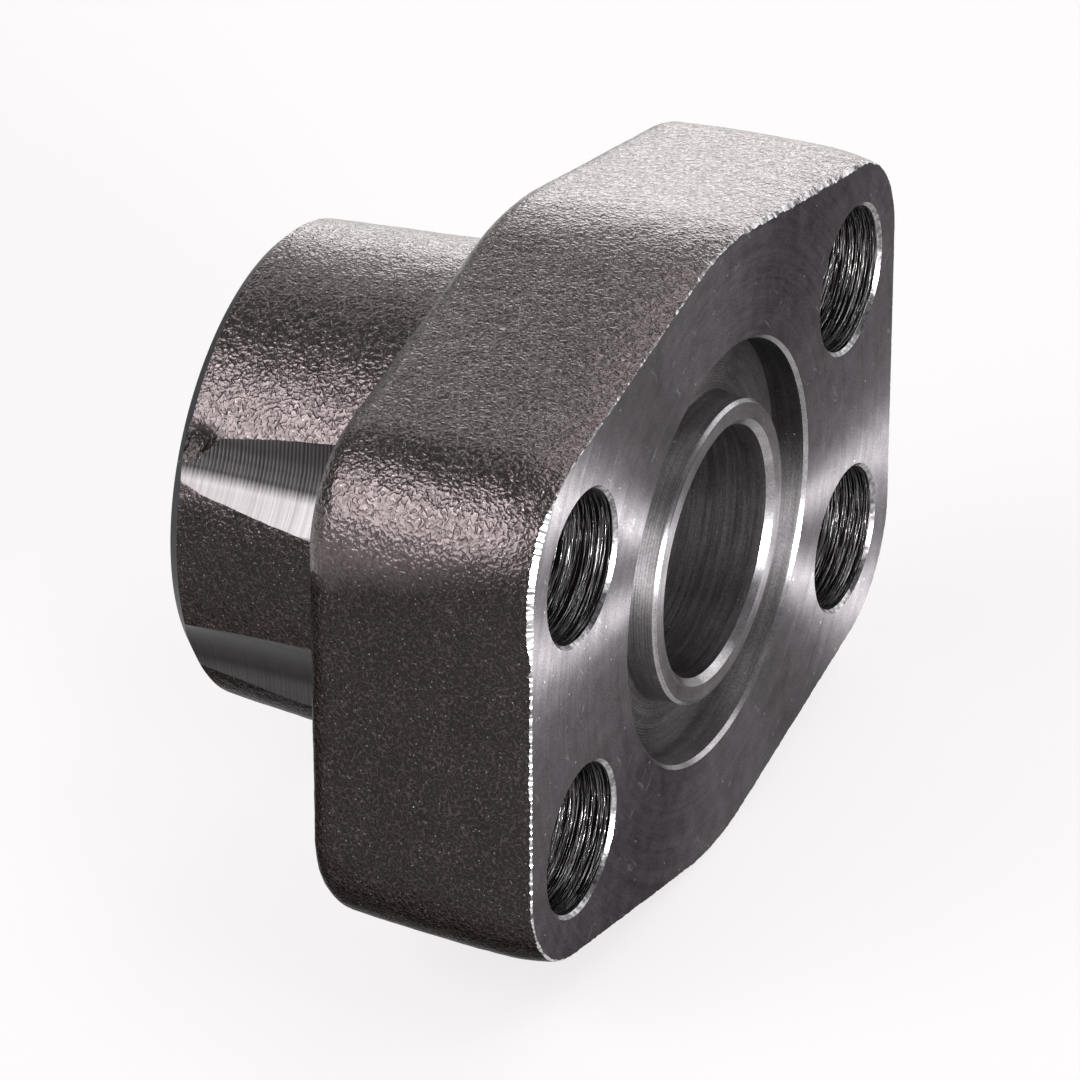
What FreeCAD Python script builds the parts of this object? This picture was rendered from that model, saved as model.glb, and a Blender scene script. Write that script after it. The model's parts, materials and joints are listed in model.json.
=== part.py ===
import FreeCAD, Part
import math
import os
import Sketcher

# Socket weld flange for a 20 mm hydraulic line: one steel forging, machined on
# its mating face, bolt holes, bolt seats, groove, bore and pipe socket.
# The frame stands as the flange does on its long side: X runs along the long
# bolt pitch, Z along the short one, and the hub points to +Y. The origin is
# where the bore's axis meets the mating face.

# Every size is in millimetres or degrees.
SIZES = [
    ("bolt_pitch_long", 47.63, "bolt pitch along X"),
    ("bolt_pitch_short", 22.23, "bolt pitch along Z"),
    ("bolt_hole_dia", 11.0, "clearance hole for a 10 mm bolt"),
    ("bolt_hole_chamfer", 0.4, "chamfer of each hole at the mating face"),
    ("bolt_seat_dia", 17.3, "cutter that faces each bolt seat and clears its head"),
    ("bolt_seat_depth", 0.4, "how far each seat is faced below the forged skin"),
    ("plate_length", 65.3, "forging at its parting line, along X"),
    ("plate_width", 50.5, "forging at its parting line, along Z"),
    ("plate_thickness", 18.0, "mating face to the back of the plate"),
    ("plate_corner_radius", 9.2, "corner radius at the parting line"),
    ("flank_angle", 11.7, "slope of the long sides from the middle to the ends"),
    ("parting_depth", 3.3, "parting line behind the mating face"),
    ("front_draft", 7.0, "draft from the parting line to the mating face"),
    ("rear_draft", 1.9, "draft from the parting line to the back"),
    ("parting_round", 12.0, "round that blends the two drafts at the parting line"),
    ("plate_rear_radius", 2.5, "round edge of the plate's back"),
    ("face_edge_chamfer", 0.3, "deburred edge of the mating face"),
    ("overall_height", 36.2, "mating face to the hub's welding end"),
    ("hub_root_dia", 38.8, "hub where it leaves the plate"),
    ("hub_draft", 4.35, "draft of the hub"),
    ("hub_root_radius", 2.0, "round where the hub leaves the plate"),
    ("weld_end_chamfer", 1.0, "bevel round the hub's welding end"),
    ("groove_dia", 31.88, "outer wall of the seal groove"),
    ("groove_depth", 2.8, "seal groove below the mating face"),
    ("groove_edge_chamfer", 0.28, "lead-in at the groove's outer edge"),
    ("groove_floor_radius", 0.3, "round between the ring and the groove's floor"),
    ("ring_dia", 22.9, "outside of the ring between groove and bore"),
    ("ring_chamfer", 0.4, "bevel on the outside of the ring's rim"),
    ("bore_dia", 19.0, "flow bore"),
    ("bore_chamfer", 0.7, "bevel at the bore's mouth in the mating face"),
    ("pipe_dia", 26.9, "outside of the pipe that is welded in"),
    ("pipe_clearance", 0.3, "how much wider the socket is than the pipe"),
    ("socket_depth", 14.0, "pipe socket below the welding end"),
    ("socket_chamfer", 0.5, "bevel at the socket's mouth"),
]
SIZE = {name: value for name, value, note in SIZES}

doc = FreeCAD.newDocument("socket_weld_flange")

# The driving sizes live in a sheet, one row each.
sheet = doc.addObject("Spreadsheet::Sheet", "sizes")
sheet.Label = "sizes"
for row, (name, value, note) in enumerate(SIZES, start=1):
    sheet.set("A%d" % row, name)
    sheet.set("B%d" % row, str(value))
    sheet.set("C%d" % row, note)
    sheet.setAlias("B%d" % row, name)
doc.recompute()

body = doc.addObject("PartDesign::Body", "flange_body")
body.Label = "flange_body"


def origin_plane(role):
    """The body's own origin plane of this role."""
    for feature in body.Origin.OriginFeatures:
        if feature.Role == role:
            return feature
    raise RuntimeError("the body has no %s" % role)


def new_sketch(name, role, depth=None):
    """A sketch on an origin plane, or at a depth behind the mating face.

    On XZ_Plane the sketch looks along +Y: its axes are X and Z. On YZ_Plane
    its axes are Y, the depth, and Z, the radius.
    """
    sketch = body.newObject("Sketcher::SketchObject", name)
    sketch.Label = name
    sketch.AttachmentSupport = [(origin_plane(role), "")]
    sketch.MapMode = "FlatFace"
    if depth is not None:
        sketch.setExpression("AttachmentOffset.Base.z", "-(%s)" % depth)
    return sketch


UP = FreeCAD.Vector(0, 0, 1)


def point(x, y):
    return FreeCAD.Vector(x, y, 0)


def tie(sketch, name, constraint, formula):
    """Add a dimension to a sketch, name it and bind it to the sheet."""
    index = sketch.addConstraint(constraint)
    sketch.renameConstraint(index, name)
    sketch.setExpression("Constraints.%s" % name, formula)


def new_feature(kind, name, **settings):
    """A feature of the body, with plain settings; formulas are tied later."""
    feature = body.newObject("PartDesign::" + kind, name)
    feature.Label = name
    for key, value in settings.items():
        setattr(feature, key, value)
    return feature


def edges_where(shape, test):
    """Names of the edges whose every sampled point passes a test."""
    names = []
    for number, edge in enumerate(shape.Edges, start=1):
        first, last = edge.ParameterRange
        samples = [edge.valueAt(first + (last - first) * part / 4.0) for part in range(5)]
        if all(test(sample) for sample in samples):
            names.append("Edge%d" % number)
    return names


def near(value, target):
    return abs(value - target) < 1e-4


def radius_at(sample):
    return math.hypot(sample.x, sample.z)


def arc(centre, radius, start, end):
    """Counterclockwise arc from one angle to another, in radians."""
    circle = Part.Circle(point(*centre), UP, radius)
    return Part.ArcOfCircle(circle, start, end)


# Forged plate. Its outline is drawn on the parting line: a round middle about
# the bore, flanks that leave it as tangents, rounded corners and flat ends.
# First the corner's centre and the flank's ends, with X and Z above 0.
half_length = SIZE["plate_length"] / 2
half_width = SIZE["plate_width"] / 2
corner_radius = SIZE["plate_corner_radius"]
slope = math.radians(SIZE["flank_angle"])
normal_x, normal_z = math.sin(slope), math.cos(slope)
cx = half_length - corner_radius
cz = (half_width - corner_radius - normal_x * cx) / normal_z
start_x, start_z = half_width * normal_x, half_width * normal_z
end_x, end_z = cx + corner_radius * normal_x, cz + corner_radius * normal_z

# The twelve pieces follow each other counterclockwise, from the right-hand end.
quarter_turn = math.pi / 2
outline = new_sketch("parting_outline", "XZ_Plane", "sizes.parting_depth")
right_end = Part.LineSegment(point(half_length, -cz), point(half_length, cz))
corner_1 = arc((cx, cz), corner_radius, 0, quarter_turn - slope)
flank_1 = Part.LineSegment(point(end_x, end_z), point(start_x, start_z))
top_round = arc((0, 0), half_width, quarter_turn - slope, quarter_turn + slope)
flank_2 = Part.LineSegment(point(-start_x, start_z), point(-end_x, end_z))
corner_2 = arc((-cx, cz), corner_radius, quarter_turn + slope, 2 * quarter_turn)
left_end = Part.LineSegment(point(-half_length, cz), point(-half_length, -cz))
corner_3 = arc((-cx, -cz), corner_radius, 2 * quarter_turn, 3 * quarter_turn - slope)
flank_3 = Part.LineSegment(point(-end_x, -end_z), point(-start_x, -start_z))
bottom_round = arc((0, 0), half_width, 3 * quarter_turn - slope, 3 * quarter_turn + slope)
flank_4 = Part.LineSegment(point(start_x, -start_z), point(end_x, -end_z))
corner_4 = arc((cx, -cz), corner_radius, 3 * quarter_turn + slope, 4 * quarter_turn)
loop = [right_end, corner_1, flank_1, top_round, flank_2, corner_2,
        left_end, corner_3, flank_3, bottom_round, flank_4, corner_4]
outline.addGeometry(loop, False)
RIGHT, CORNER_1, FLANK_1, TOP, FLANK_2, CORNER_2 = range(6)
LEFT, CORNER_3, FLANK_3, BOTTOM, FLANK_4, CORNER_4 = range(6, 12)
for piece in range(len(loop)):
    outline.addConstraint(Sketcher.Constraint("Tangent", piece, 2, (piece + 1) % len(loop), 1))
for middle_arc in (TOP, BOTTOM):
    outline.addConstraint(Sketcher.Constraint("Coincident", middle_arc, 3, -1, 1))
outline.addConstraint(Sketcher.Constraint("Equal", TOP, BOTTOM))
for corner in (CORNER_2, CORNER_3, CORNER_4):
    outline.addConstraint(Sketcher.Constraint("Equal", CORNER_1, corner))
for end in (RIGHT, LEFT):
    outline.addConstraint(Sketcher.Constraint("Vertical", end))
tie(outline, "middle_radius", Sketcher.Constraint("Radius", TOP, half_width), "sizes.plate_width / 2")
tie(outline, "corner_radius", Sketcher.Constraint("Radius", CORNER_1, corner_radius),
    "sizes.plate_corner_radius")
tie(outline, "right_reach", Sketcher.Constraint("DistanceX", -1, 1, RIGHT, 1, half_length),
    "sizes.plate_length / 2")
tie(outline, "left_reach", Sketcher.Constraint("DistanceX", LEFT, 1, -1, 1, half_length),
    "sizes.plate_length / 2")
tie(outline, "slope_1", Sketcher.Constraint("Angle", FLANK_1, math.pi - slope),
    "180 deg - sizes.flank_angle * 1 deg")
tie(outline, "slope_2", Sketcher.Constraint("Angle", FLANK_2, slope - math.pi),
    "sizes.flank_angle * 1 deg - 180 deg")
tie(outline, "slope_3", Sketcher.Constraint("Angle", FLANK_3, -slope), "-sizes.flank_angle * 1 deg")
tie(outline, "slope_4", Sketcher.Constraint("Angle", FLANK_4, slope), "sizes.flank_angle * 1 deg")

# The plate grows from the parting line both ways, with draft on each side.
plate = new_feature("Pad", "forged_plate", Profile=outline, SideType="Two sides")
plate.setExpression("Length", "sizes.parting_depth")
plate.setExpression("Length2", "sizes.plate_thickness - sizes.parting_depth")
plate.setExpression("TaperAngle", "-sizes.front_draft * 1 deg")
plate.setExpression("TaperAngle2", "-sizes.rear_draft * 1 deg")
doc.recompute()

# The two drafts meet in a soft crown, not in a ridge.
parting_edges = edges_where(plate.Shape, lambda sample: near(sample.y, SIZE["parting_depth"]))
crown = new_feature("Fillet", "parting_crown", Base=(plate, parting_edges))
crown.setExpression("Radius", "sizes.parting_round")
doc.recompute()

# Round edge of the plate's back.
rear_edges = edges_where(crown.Shape, lambda sample: near(sample.y, SIZE["plate_thickness"]))
rear_round = new_feature("Fillet", "plate_rear_round", Base=(crown, rear_edges))
rear_round.setExpression("Radius", "sizes.plate_rear_radius")
doc.recompute()

# Deburred edge of the mating face.
face_edges = edges_where(rear_round.Shape, lambda sample: near(sample.y, 0))
face_edge = new_feature("Chamfer", "face_edge_bevel", Base=(rear_round, face_edges))
face_edge.setExpression("Size", "sizes.face_edge_chamfer")
doc.recompute()

# Forged hub, with draft towards its welding end.
hub_circle = new_sketch("hub_root_circle", "XZ_Plane", "sizes.plate_thickness")
hub_circle.addGeometry(Part.Circle(point(0, 0), UP, SIZE["hub_root_dia"] / 2), False)
hub_circle.addConstraint(Sketcher.Constraint("Coincident", 0, 3, -1, 1))
tie(hub_circle, "root_dia", Sketcher.Constraint("Diameter", 0, SIZE["hub_root_dia"]), "sizes.hub_root_dia")
hub = new_feature("Pad", "forged_hub", Profile=hub_circle, Reversed=True)
hub.setExpression("Length", "sizes.overall_height - sizes.plate_thickness")
hub.setExpression("TaperAngle", "-sizes.hub_draft * 1 deg")
doc.recompute()

root_radius = SIZE["hub_root_dia"] / 2
root_edges = edges_where(hub.Shape, lambda sample: near(sample.y, SIZE["plate_thickness"])
                         and near(radius_at(sample), root_radius))
root_round = new_feature("Fillet", "hub_root_round", Base=(hub, root_edges))
root_round.setExpression("Radius", "sizes.hub_root_radius")
doc.recompute()

end_edges = edges_where(root_round.Shape, lambda sample: near(sample.y, SIZE["overall_height"]))
weld_end = new_feature("Chamfer", "weld_end_bevel", Base=(root_round, end_edges))
weld_end.setExpression("Size", "sizes.weld_end_chamfer")
doc.recompute()


def closed_section(sketch, corners):
    """Straight lines through the corners, joined end to end and closed."""
    count = len(corners)
    for number in range(count):
        start = point(*corners[number])
        end = point(*corners[(number + 1) % count])
        sketch.addGeometry(Part.LineSegment(start, end), False)
    for number in range(count):
        sketch.addConstraint(Sketcher.Constraint("Coincident", number, 2, (number + 1) % count, 1))


def level(sketch, *lines):
    for line in lines:
        sketch.addConstraint(Sketcher.Constraint("Horizontal", line))


def upright(sketch, *lines):
    for line in lines:
        sketch.addConstraint(Sketcher.Constraint("Vertical", line))


def reach(sketch, name, line, formula, value):
    """Depth of a line's start behind the mating face."""
    tie(sketch, name, Sketcher.Constraint("DistanceX", -1, 1, line, 1, value), formula)


def rise(sketch, name, line, formula, value):
    """Radius of a line's start above the bore's axis."""
    tie(sketch, name, Sketcher.Constraint("DistanceY", -1, 1, line, 1, value), formula)


# Seal groove round the ring. Its section lies in depth and radius and starts
# at the ring's rim; the ring's foot is rounded and the far corner is square.
ring_radius = SIZE["ring_dia"] / 2
groove_radius = SIZE["groove_dia"] / 2
groove_depth = SIZE["groove_depth"]
ring_bevel = SIZE["ring_chamfer"]
groove_bevel = SIZE["groove_edge_chamfer"]
groove_section = new_sketch("groove_section", "YZ_Plane")
closed_section(groove_section, [
    (0, ring_radius - ring_bevel),
    (ring_bevel, ring_radius),
    (groove_depth, ring_radius),
    (groove_depth, groove_radius),
    (groove_bevel, groove_radius),
    (0, groove_radius + groove_bevel),
])
RING_BEVEL, RING_WALL, FLOOR, OUTER_WALL, OUTER_BEVEL, MOUTH = range(6)
level(groove_section, RING_WALL, OUTER_WALL)
upright(groove_section, FLOOR)
groove_section.addConstraint(Sketcher.Constraint("PointOnObject", RING_BEVEL, 1, -2))
groove_section.addConstraint(Sketcher.Constraint("PointOnObject", MOUTH, 1, -2))
rise(groove_section, "rim_radius", RING_BEVEL, "sizes.ring_dia / 2 - sizes.ring_chamfer",
     ring_radius - ring_bevel)
reach(groove_section, "ring_bevel_depth", RING_WALL, "sizes.ring_chamfer", ring_bevel)
rise(groove_section, "ring_radius", RING_WALL, "sizes.ring_dia / 2", ring_radius)
reach(groove_section, "floor_depth", FLOOR, "sizes.groove_depth", groove_depth)
rise(groove_section, "groove_radius", OUTER_WALL, "sizes.groove_dia / 2", groove_radius)
reach(groove_section, "lead_in_depth", OUTER_BEVEL, "sizes.groove_edge_chamfer", groove_bevel)
rise(groove_section, "mouth_radius", MOUTH, "sizes.groove_dia / 2 + sizes.groove_edge_chamfer",
     groove_radius + groove_bevel)
seal_groove = new_feature("Groove", "seal_groove", Profile=groove_section,
                          ReferenceAxis=(groove_section, ["H_Axis"]))
doc.recompute()

foot_edges = edges_where(seal_groove.Shape, lambda sample: near(sample.y, groove_depth)
                         and near(radius_at(sample), ring_radius))
ring_foot = new_feature("Fillet", "ring_foot_round", Base=(seal_groove, foot_edges))
ring_foot.setExpression("Radius", "sizes.groove_floor_radius")
doc.recompute()

# Flow bore and pipe socket, turned in one section from the axis outwards.
height = SIZE["overall_height"]
bore_radius = SIZE["bore_dia"] / 2
bore_bevel = SIZE["bore_chamfer"]
socket_radius = (SIZE["pipe_dia"] + SIZE["pipe_clearance"]) / 2
socket_bevel = SIZE["socket_chamfer"]
shoulder = height - SIZE["socket_depth"]
bore_section = new_sketch("bore_section", "YZ_Plane")
closed_section(bore_section, [
    (0, 0),
    (0, bore_radius + bore_bevel),
    (bore_bevel, bore_radius),
    (shoulder, bore_radius),
    (shoulder, socket_radius),
    (height - socket_bevel, socket_radius),
    (height, socket_radius + socket_bevel),
    (height, 0),
])
FACE, BORE_BEVEL, BORE_WALL, SHOULDER, SOCKET_WALL, SOCKET_BEVEL, END, AXIS = range(8)
bore_section.addConstraint(Sketcher.Constraint("Coincident", FACE, 1, -1, 1))
upright(bore_section, FACE, SHOULDER, END)
level(bore_section, BORE_WALL, SOCKET_WALL, AXIS)
rise(bore_section, "bore_mouth", BORE_BEVEL, "sizes.bore_dia / 2 + sizes.bore_chamfer",
     bore_radius + bore_bevel)
reach(bore_section, "bore_bevel_depth", BORE_WALL, "sizes.bore_chamfer", bore_bevel)
rise(bore_section, "bore_radius", BORE_WALL, "sizes.bore_dia / 2", bore_radius)
reach(bore_section, "shoulder_depth", SHOULDER, "sizes.overall_height - sizes.socket_depth", shoulder)
rise(bore_section, "socket_radius", SOCKET_WALL, "(sizes.pipe_dia + sizes.pipe_clearance) / 2",
     socket_radius)
reach(bore_section, "socket_bevel_depth", SOCKET_BEVEL, "sizes.overall_height - sizes.socket_chamfer",
      height - socket_bevel)
rise(bore_section, "socket_mouth", END,
     "(sizes.pipe_dia + sizes.pipe_clearance) / 2 + sizes.socket_chamfer", socket_radius + socket_bevel)
reach(bore_section, "end_depth", END, "sizes.overall_height", height)
bore = new_feature("Groove", "bore_and_socket", Profile=bore_section,
                   ReferenceAxis=(bore_section, ["H_Axis"]))
doc.recompute()


def bolt_circle(name, depth, size_name):
    """A circle on the first bolt's axis, at the low end of X and Z."""
    sketch = new_sketch(name, "XZ_Plane", depth)
    centre = point(-SIZE["bolt_pitch_long"] / 2, -SIZE["bolt_pitch_short"] / 2)
    sketch.addGeometry(Part.Circle(centre, UP, SIZE[size_name] / 2), False)
    tie(sketch, "along", Sketcher.Constraint("DistanceX", 0, 3, -1, 1, -centre.x),
        "sizes.bolt_pitch_long / 2")
    tie(sketch, "down", Sketcher.Constraint("DistanceY", 0, 3, -1, 1, -centre.y),
        "sizes.bolt_pitch_short / 2")
    tie(sketch, "across", Sketcher.Constraint("Diameter", 0, SIZE[size_name]), "sizes." + size_name)
    return sketch


# One bolt hole, countersunk at the mating face, and its seat. The seat's
# cutter runs on past the hub and leaves a scallop in its side.
hole_circle = bolt_circle("bolt_hole_circle", None, "bolt_hole_dia")
doc.recompute()
bolt_hole = new_feature("Hole", "bolt_hole", Profile=hole_circle, DepthType="ThroughAll",
                        HoleCutType="Countersink", HoleCutCustomValues=True,
                        HoleCutCountersinkAngle=90)
bolt_hole.setExpression("Diameter", "sizes.bolt_hole_dia")
bolt_hole.setExpression("HoleCutDiameter", "sizes.bolt_hole_dia + 2 * sizes.bolt_hole_chamfer")
doc.recompute()

seat_circle = bolt_circle("bolt_seat_circle", "sizes.plate_thickness - sizes.bolt_seat_depth",
                          "bolt_seat_dia")
bolt_seat = new_feature("Pocket", "bolt_seat", Profile=seat_circle, Type="ThroughAll")
doc.recompute()

# The other three bolts.
bolts = new_feature("LinearPattern", "four_bolts", Originals=[bolt_hole, bolt_seat],
                    Direction=(seat_circle, ["H_Axis"]), Occurrences=2,
                    Direction2=(seat_circle, ["V_Axis"]), Occurrences2=2)
bolts.setExpression("Length", "sizes.bolt_pitch_long")
bolts.setExpression("Length2", "sizes.bolt_pitch_short")
body.Tip = bolts
doc.recompute()

for item in doc.Objects:
    if "Invalid" in item.State or "Error" in item.State:
        raise RuntimeError("%s failed: %s" % (item.Label, item.State))
for sketch in [item for item in doc.Objects if item.TypeId == "Sketcher::SketchObject"]:
    if sketch.solve() != 0:
        raise RuntimeError("%s can't be solved" % sketch.Label)

# Write the piece under its own name.
os.makedirs("parts", exist_ok=True)
for piece in [body]:
    shape = piece.Shape
    if shape.isNull() or not shape.isValid() or len(shape.Solids) != 1:
        raise RuntimeError("%s isn't one valid solid" % piece.Label)
    shape.exportStep("parts/%s.step" % piece.Label)
    box = shape.optimalBoundingBox()
    print("%s: %.1f x %.1f x %.1f mm, %.1f cm3, %d faces" % (
        piece.Label, box.XLength, box.YLength, box.ZLength, shape.Volume / 1000, len(shape.Faces)))
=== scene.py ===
# %% [markdown]
# # A forged socket weld flange
# The real flange starts as a hot forging: a thick plate with a drafted hub on
# its back, pressed between two dies. A lathe then faces the mating side, cuts
# the seal groove, the bore, the pipe socket and the bevel of the hub's end, and
# a drill press makes the four bolt holes and faces a seat round each one.
# The script makes it in the same order. It builds the raw forging as a mesh,
# roughens its skin, and then cuts it with one tool after another. Each tool
# carries the finish that it leaves, so every cut face gets the right material,
# and an edge between rough skin and a clean cut is as uneven as the real one.

# %% load the frame
import json
import math
import bpy
import numpy as np
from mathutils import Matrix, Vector


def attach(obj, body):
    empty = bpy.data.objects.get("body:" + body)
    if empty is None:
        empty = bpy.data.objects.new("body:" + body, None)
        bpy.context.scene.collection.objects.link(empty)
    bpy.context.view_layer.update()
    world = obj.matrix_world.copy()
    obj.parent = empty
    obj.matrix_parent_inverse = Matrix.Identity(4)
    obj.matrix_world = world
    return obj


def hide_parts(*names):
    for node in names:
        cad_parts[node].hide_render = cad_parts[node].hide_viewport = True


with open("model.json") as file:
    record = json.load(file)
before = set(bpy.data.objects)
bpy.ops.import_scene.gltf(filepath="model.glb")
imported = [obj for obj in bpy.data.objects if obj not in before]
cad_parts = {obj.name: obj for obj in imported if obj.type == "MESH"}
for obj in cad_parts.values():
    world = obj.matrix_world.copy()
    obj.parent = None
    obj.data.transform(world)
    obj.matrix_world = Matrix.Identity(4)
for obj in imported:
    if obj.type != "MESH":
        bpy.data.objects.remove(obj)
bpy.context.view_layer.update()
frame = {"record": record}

MM = 0.001

# %% [markdown]
# ## Sizes
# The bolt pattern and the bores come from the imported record. The other sizes
# repeat the drawing, in millimetres, because this script can't read it. Radii
# and depths are all measured from the bore's axis and from the mating face.

# %% sizes
mount_sizes = {mount["name"]: mount["dims"] for mount in frame["record"]["mounts"]}
LONG_PITCH = mount_sizes["bolt_holes"]["spacing_x_mm"]
SHORT_PITCH = mount_sizes["bolt_holes"]["spacing_y_mm"]
HOLE_RADIUS = mount_sizes["bolt_holes"]["hole_r_mm"]
BORE_RADIUS = mount_sizes["flow_bore"]["r_mm"]
SOCKET_RADIUS = mount_sizes["pipe_socket"]["r_mm"]

HALF_LENGTH = 32.65
HALF_WIDTH = 25.25
CORNER_RADIUS = 9.2
FLANK_ANGLE = math.radians(11.7)
THICKNESS = 18.0
WIDEST_DEPTH = 4.0
REAR_RADIUS = 2.5
HEIGHT = 36.2
HUB_RADIUS = 19.42
HUB_DRAFT = math.radians(4.35)
HUB_ROOT = 2.0
WELD_BEVEL = 1.0
DRILL_WANDER = 0.12
HOLE_BEVEL = 0.28
SEAT_RADIUS = 8.65
SEAT_DEPTH = 17.6
SEAT_TAPER = 0.15
HUB_SAG = 0.35
GROOVE_RADIUS = 15.94
GROOVE_DEPTH = 2.8
GROOVE_BEVEL = 0.28
RING_RADIUS = 11.45
RING_BEVEL = 0.25
RING_FOOT = 0.3
BORE_BEVEL = 0.5
SOCKET_FLOOR = 22.2
SOCKET_BEVEL = 0.5
print("bolt pattern %.2f by %.2f mm, bore %.1f mm" % (LONG_PITCH, SHORT_PITCH, 2 * BORE_RADIUS))

# %% [markdown]
# ## The parting line
# Seen from the front, the forging is widest along its parting line: a flat end,
# a round corner, a sloping flank and a round middle, four times mirrored. Each
# point is found by walking along these pieces, and it keeps its outward normal,
# so that the same loop can be moved inwards for every other depth.

# %% walk along the parting line
def quarter_outline(count):
    """Points and outward normals from the middle of the +X end to the top of the middle."""
    corner_x = HALF_LENGTH - CORNER_RADIUS
    corner_z = HALF_WIDTH - CORNER_RADIUS - math.sin(FLANK_ANGLE) * corner_x
    corner_z = corner_z / math.cos(FLANK_ANGLE)
    corner_turn = math.pi / 2 - FLANK_ANGLE
    flank = corner_x * math.cos(FLANK_ANGLE) - corner_z * math.sin(FLANK_ANGLE)
    corner_arc = CORNER_RADIUS * corner_turn
    total = corner_z + corner_arc + flank + HALF_WIDTH * FLANK_ANGLE
    walk = (np.arange(count) + 0.5) / count * total
    on_end = np.clip(walk, 0, corner_z)
    on_corner = np.clip(walk - corner_z, 0, corner_arc) / CORNER_RADIUS
    on_flank = np.clip(walk - corner_z - corner_arc, 0, flank)
    on_middle = np.clip(walk - corner_z - corner_arc - flank, 0, None) / HALF_WIDTH
    turn = on_corner + on_middle
    x = corner_x + CORNER_RADIUS * np.cos(on_corner) - on_flank * math.cos(FLANK_ANGLE)
    x += HALF_WIDTH * (np.cos(corner_turn + on_middle) - math.cos(corner_turn))
    z = on_end + CORNER_RADIUS * np.sin(on_corner) + on_flank * math.sin(FLANK_ANGLE)
    z += HALF_WIDTH * (np.sin(corner_turn + on_middle) - math.sin(corner_turn))
    return np.column_stack([x, z]), np.column_stack([np.cos(turn), np.sin(turn)])


def whole_outline(count):
    """The closed loop of points and normals, counterclockwise as seen from the front."""
    points, normals = [], []
    quarter = quarter_outline(count // 4)
    for side_x, side_z in ((1, 1), (-1, 1), (-1, -1), (1, -1)):
        step = side_x * side_z
        points.append(quarter[0][::step] * (side_x, side_z))
        normals.append(quarter[1][::step] * (side_x, side_z))
    return np.concatenate(points), np.concatenate(normals)


STATIONS = 600
outline, outline_normals = whole_outline(STATIONS)
print("parting line:", STATIONS, "points,", "%.2f mm apart" % np.hypot(*(outline[1] - outline[0])))

# %% [markdown]
# ## The raw forging
# Both dies have draft, and the photograph shows that the sides are softly
# crowned: widest 4 mm behind the mating face and closing in faster in front of
# it than behind. A parabola on each side of that depth gives the crown. One loop
# follows another down the side, round the rear edge, inwards across the back,
# up the fillet and along the hub. The first and last loops stand a millimetre
# proud, where the lathe will cut them away.

# %% loops of the forging
FRONT_CROWN = 0.029
REAR_CROWN = 0.0035
STOCK = 1.0
ROW_STEP = 0.4


def crown(depth):
    """How far the side lies inside the parting line at a depth."""
    past = depth - WIDEST_DEPTH
    return np.where(past < 0, FRONT_CROWN, REAR_CROWN) * past ** 2


def plate_loop(depth, inset):
    loop = outline - inset * outline_normals
    return np.column_stack([loop[:, 0], np.full(len(loop), depth), loop[:, 1]])


# Each dent: where it lies on the skin, how far it reaches and how deep it is.
DENTS = [
    ((-15.7, 33.9, 9.2), 1.4, 0.3),
    ((-16.2, 34.9, 8.3), 1.7, 0.4),
    ((-15.6, 35.2, 9.3), 1.6, 0.3),
    ((-16.4, 33.7, 8.0), 0.9, 0.2),
]


def press_dents(points):
    """Push the skin towards the bore's axis wherever a dent lies."""
    for place, reach, depth in DENTS:
        away = np.linalg.norm(points - place, axis=1) / reach
        inwards = points * (1, 0, 1) / np.hypot(points[:, 0], points[:, 2]).clip(1)[:, None]
        points = points - inwards * (depth * np.clip(1 - away ** 2, 0, None) ** 2)[:, None]
    return points


def hub_loop(depth, radius):
    spokes = outline / np.hypot(outline[:, 0], outline[:, 1])[:, None]
    ring = np.column_stack([radius * spokes[:, 0], np.full(len(spokes), depth), radius * spokes[:, 1]])
    return ring - (0, 0, HUB_SAG)


def steps(start, stop, size):
    return np.linspace(start, stop, max(2, round(abs(stop - start) / size) + 1))


def forging_loops():
    loops = []
    round_depth = THICKNESS - REAR_RADIUS
    slope = math.atan(2 * REAR_CROWN * (round_depth - WIDEST_DEPTH))
    side_end = round_depth + REAR_RADIUS * math.sin(slope)
    round_inset = float(crown(side_end)) + REAR_RADIUS * math.cos(slope)
    for depth in steps(-STOCK, side_end, ROW_STEP):
        loops.append(plate_loop(depth, float(crown(depth))))
    for turn in steps(slope, math.pi / 2, ROW_STEP / REAR_RADIUS)[1:]:
        depth = round_depth + REAR_RADIUS * math.sin(turn)
        loops.append(plate_loop(depth, round_inset - REAR_RADIUS * math.cos(turn)))
    root_radius = HUB_RADIUS + HUB_ROOT * (1 - math.sin(HUB_DRAFT)) / math.cos(HUB_DRAFT)
    back_edge, hub_foot = loops[-1], hub_loop(THICKNESS, root_radius)
    for share in np.linspace(0, 1, 20)[1:]:
        loops.append(back_edge + (hub_foot - back_edge) * share)
    for turn in steps(0, math.pi / 2 - HUB_DRAFT, ROW_STEP / HUB_ROOT)[1:]:
        depth = THICKNESS + HUB_ROOT * (1 - math.cos(turn))
        loops.append(hub_loop(depth, root_radius - HUB_ROOT * math.sin(turn)))
    for depth in steps(depth, HEIGHT + STOCK, ROW_STEP)[1:]:
        loops.append(hub_loop(depth, HUB_RADIUS - (depth - THICKNESS) * math.tan(HUB_DRAFT)))
    return loops


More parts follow.
